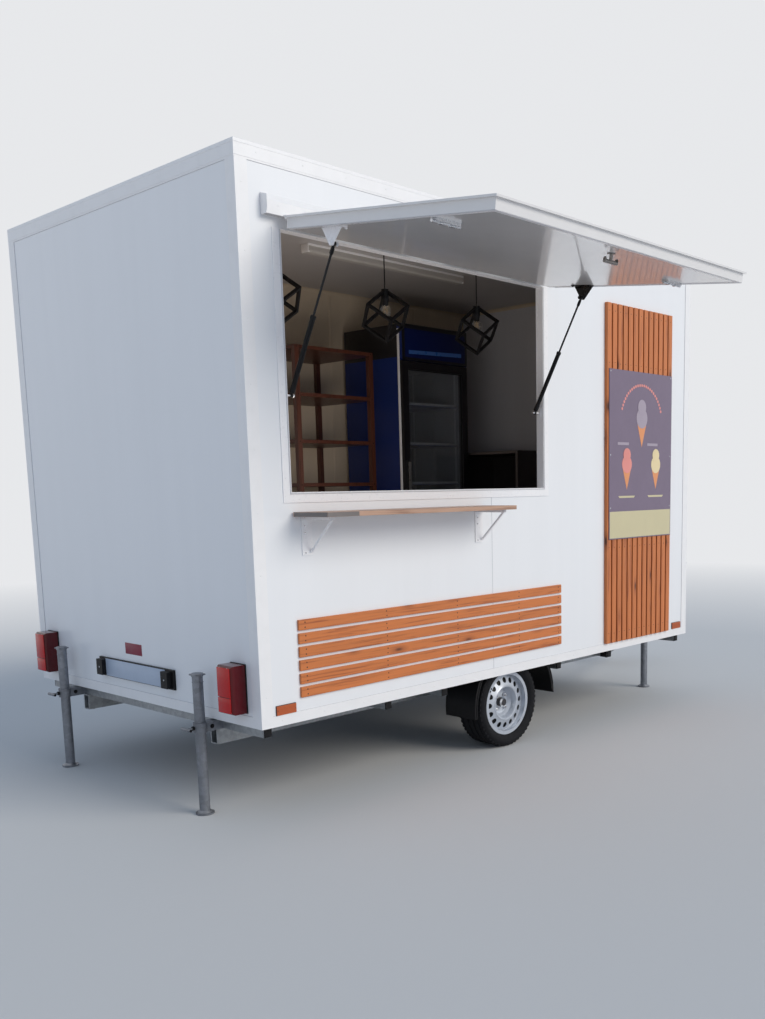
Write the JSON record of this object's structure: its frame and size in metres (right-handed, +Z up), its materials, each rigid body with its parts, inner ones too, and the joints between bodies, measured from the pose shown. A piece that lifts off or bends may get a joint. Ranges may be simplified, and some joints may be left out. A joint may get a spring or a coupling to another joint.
{
  "type": "ice cream vending trailer",
  "caption": "Single-axle box trailer for selling ice cream, with a lift-up serving hatch on gas struts, a fold-down shelf, prop stands and a jockey wheel.",
  "frame": {"origin": "on the ground, under the middle of the outline with the hatch up and the drawbar out", "axes": "+X forward to the coupling, +Y to the far side away from the serving hatch, +Z up"},
  "size_m": [4.943, 3.2816, 2.83],
  "materials": {
    "white_panel": "smooth white glass-fibre skin",
    "white_metal": "white painted aluminium",
    "galvanised": "galvanised steel",
    "timber": "stained pine boards",
    "poster": "dark printed board",
    "lamp_red": "red lens",
    "marker_orange": "amber lens",
    "black_plastic": "black moulded plastic",
    "black_metal": "black painted steel",
    "strut_rod": "ground rod",
    "shelf_board": "veneered board",
    "tyre": "tyre rubber",
    "rim_silver": "silver painted steel",
    "hub_iron": "dark cast hub",
    "counter_board": "laminated board",
    "dark_board": "dark board",
    "brown_board": "brown stained board",
    "cooler_blue": "blue cooler case",
    "cooler_glass": "clear pane",
    "lamp_white": "white diffuser",
    "bulb_glass": "clear bulb"
  },
  "bodies": {
    "body": {"axle_beam": "galvanised", "batten_light": "lamp_white", "chassis_rails": "galvanised", "cladding_boards": "timber", "cladding_slats": "timber", "corner_profiles": "white_metal", "coupling_head": "galvanised", "cross_members": "galvanised", "door_frame": "white_metal", "drawbar_nose": "galvanised", "far_wall": "white_panel", "floor_panel": "white_panel", "fridge_cabinet": "cooler_blue", "front_wall": "white_panel", "hatch_hinge_rail": "white_metal", "jockey_clamp": "galvanised", "mudguards": "black_plastic", "opening_frame": "white_metal", "pendant_bulbs": "bulb_glass", "pendant_cages": "black_metal", "plate_holder": "black_plastic", "poster_board": "poster", "rear_lamps": "lamp_red", "rear_wall": "white_panel", "roof_panel": "white_panel", "roof_profile": "white_metal", "serving_counter": "counter_board", "serving_wall": "white_panel", "shelf_rack": "brown_board", "shelf_wall_plates": "white_metal", "side_cabinet": "dark_board", "side_markers": "marker_orange", "sill_profile": "white_metal", "stand_clamps": "galvanised"},
    "hatch": {"hatch_panel": "white_panel", "hatch_fittings": "white_metal"},
    "shelf": {"serving_shelf": "shelf_board"},
    "shelf_stays": {"shelf_stays": "white_metal"},
    "door": {"door_leaf": "white_panel"},
    "cooler_door": {"fridge_door": "black_plastic", "fridge_glass": "cooler_glass"},
    "strut_cylinder_rear": {"strut_cylinder_rear": "black_metal"},
    "strut_rod_rear": {"strut_rod_rear": "strut_rod"},
    "strut_cylinder_front": {"strut_cylinder_front": "black_metal"},
    "strut_rod_front": {"strut_rod_front": "strut_rod"},
    "wheel_near": {"tyre_near": "tyre", "rim_near": "rim_silver", "hub_near": "hub_iron"},
    "wheel_far": {"tyre_far": "tyre", "rim_far": "rim_silver", "hub_far": "hub_iron"},
    "stand_rear_near": {"stand_rear_near": "galvanised"},
    "stand_rear_far": {"stand_rear_far": "galvanised"},
    "stand_front_near": {"stand_front_near": "galvanised"},
    "stand_front_far": {"stand_front_far": "galvanised"},
    "jockey_leg": {"jockey_tube": "galvanised"},
    "jockey_fork": {"jockey_fork": "galvanised", "jockey_stem": "galvanised"},
    "jockey_wheel": {"jockey_wheel": "black_plastic"}
  },
  "joints": [
    {"name": "hatch_hinge", "type": "hinge", "parent": "body", "child": "hatch", "pos_m": [0, -0.49221, 2.553], "axis": [1, 0, 0], "range_deg": [0, 83.2]},
    {"name": "shelf_fold", "type": "hinge", "parent": "body", "child": "shelf", "pos_m": [0, -0.45821, 1.328], "axis": [1, 0, 0], "range_deg": [0, 90]},
    {"name": "shelf_stay_swing", "type": "hinge", "parent": "body", "child": "shelf_stays", "pos_m": [0, -0.45221, 1.183], "axis": [1, 0, 0], "range_deg": [0, 133.62]},
    {"name": "door_hinge", "type": "hinge", "parent": "body", "child": "door", "pos_m": [-1.9545, 1.59879, 1.481], "axis": [0, 0, 1], "range_deg": [0, 110]},
    {"name": "cooler_door_hinge", "type": "hinge", "parent": "body", "child": "cooler_door", "pos_m": [0.5335, 0.94379, 1.53], "axis": [0, 0, 1], "range_deg": [0, 100]},
    {"name": "strut_rear_tilt", "type": "hinge", "parent": "body", "child": "strut_cylinder_rear", "pos_m": [-2.0745, -0.41621, 1.85], "axis": [1, 0, 0], "range_deg": [-32.68, 0]},
    {"name": "strut_rear_slide", "type": "slide", "parent": "strut_cylinder_rear", "child": "strut_rod_rear", "axis": [0, -0.4862, 0.8738], "range_m": [-0.203, 0]},
    {"name": "strut_front_tilt", "type": "hinge", "parent": "body", "child": "strut_cylinder_front", "pos_m": [-0.3985, -0.41621, 1.85], "axis": [1, 0, 0], "range_deg": [-32.68, 0]},
    {"name": "strut_front_slide", "type": "slide", "parent": "strut_cylinder_front", "child": "strut_rod_front", "axis": [0, -0.4862, 0.8738], "range_m": [-0.203, 0]},
    {"name": "wheel_near_spin", "type": "hinge", "parent": "body", "child": "wheel_near", "pos_m": [-0.6105, -0.30321, 0.245], "axis": [0, 1, 0], "continuous": true},
    {"name": "wheel_far_spin", "type": "hinge", "parent": "body", "child": "wheel_far", "pos_m": [-0.6105, 1.44479, 0.245], "axis": [0, 1, 0], "continuous": true},
    {"name": "stand_rear_near_slide", "type": "slide", "parent": "body", "child": "stand_rear_near", "axis": [0, 0, 1], "range_m": [0, 0.25]},
    {"name": "stand_rear_far_slide", "type": "slide", "parent": "body", "child": "stand_rear_far", "axis": [0, 0, 1], "range_m": [0, 0.25]},
    {"name": "stand_front_near_slide", "type": "slide", "parent": "body", "child": "stand_front_near", "axis": [0, 0, 1], "range_m": [0, 0.25]},
    {"name": "stand_front_far_slide", "type": "slide", "parent": "body", "child": "stand_front_far", "axis": [0, 0, 1], "range_m": [0, 0.25]},
    {"name": "jockey_slide", "type": "slide", "parent": "body", "child": "jockey_leg", "axis": [0, 0, -1], "range_m": [0, 0.076]},
    {"name": "jockey_swivel", "type": "hinge", "parent": "jockey_leg", "child": "jockey_fork", "pos_m": [2.0015, 0.79658, 0.2945], "axis": [0, 0, 1], "continuous": true},
    {"name": "jockey_wheel_spin", "type": "hinge", "parent": "jockey_fork", "child": "jockey_wheel", "pos_m": [1.9565, 0.79658, 0.176], "axis": [0, 1, 0], "continuous": true}
  ],
  "couplings": [
    {"joint": "shelf_stay_swing", "follows": "shelf_fold", "ratio": 1.4845},
    {"joint": "strut_rear_tilt", "follows": "hatch_hinge", "ratio": -0.39264},
    {"joint": "strut_rear_slide", "follows": "hatch_hinge", "m_per_rad": -0.13972},
    {"joint": "strut_front_tilt", "follows": "hatch_hinge", "ratio": -0.39264},
    {"joint": "strut_front_slide", "follows": "hatch_hinge", "m_per_rad": -0.13972}
  ]
}
